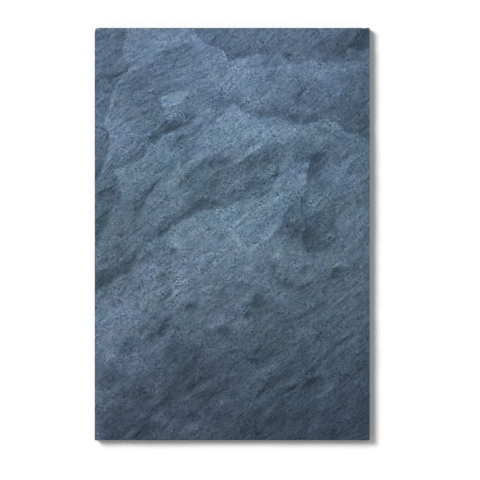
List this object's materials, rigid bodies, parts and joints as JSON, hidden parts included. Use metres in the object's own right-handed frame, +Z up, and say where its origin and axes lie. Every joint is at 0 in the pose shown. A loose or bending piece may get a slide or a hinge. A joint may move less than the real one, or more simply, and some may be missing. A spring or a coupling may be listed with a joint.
{
  "type": "riven slate slab",
  "caption": "Flat rectangular slab of natural slate with a riven, ledged upper face, sawn sides and a ground back that it rests on.",
  "frame": {"origin": "under the middle of the slab, on the plane of its flat back", "axes": "+X along the short side, +Y along the long side, +Z up out of the riven face"},
  "size_m": [0.4, 0.6, 0.02],
  "materials": {
    "slate": null
  },
  "bodies": {
    "root": {"slab": "slate"}
  },
  "joints": []
}
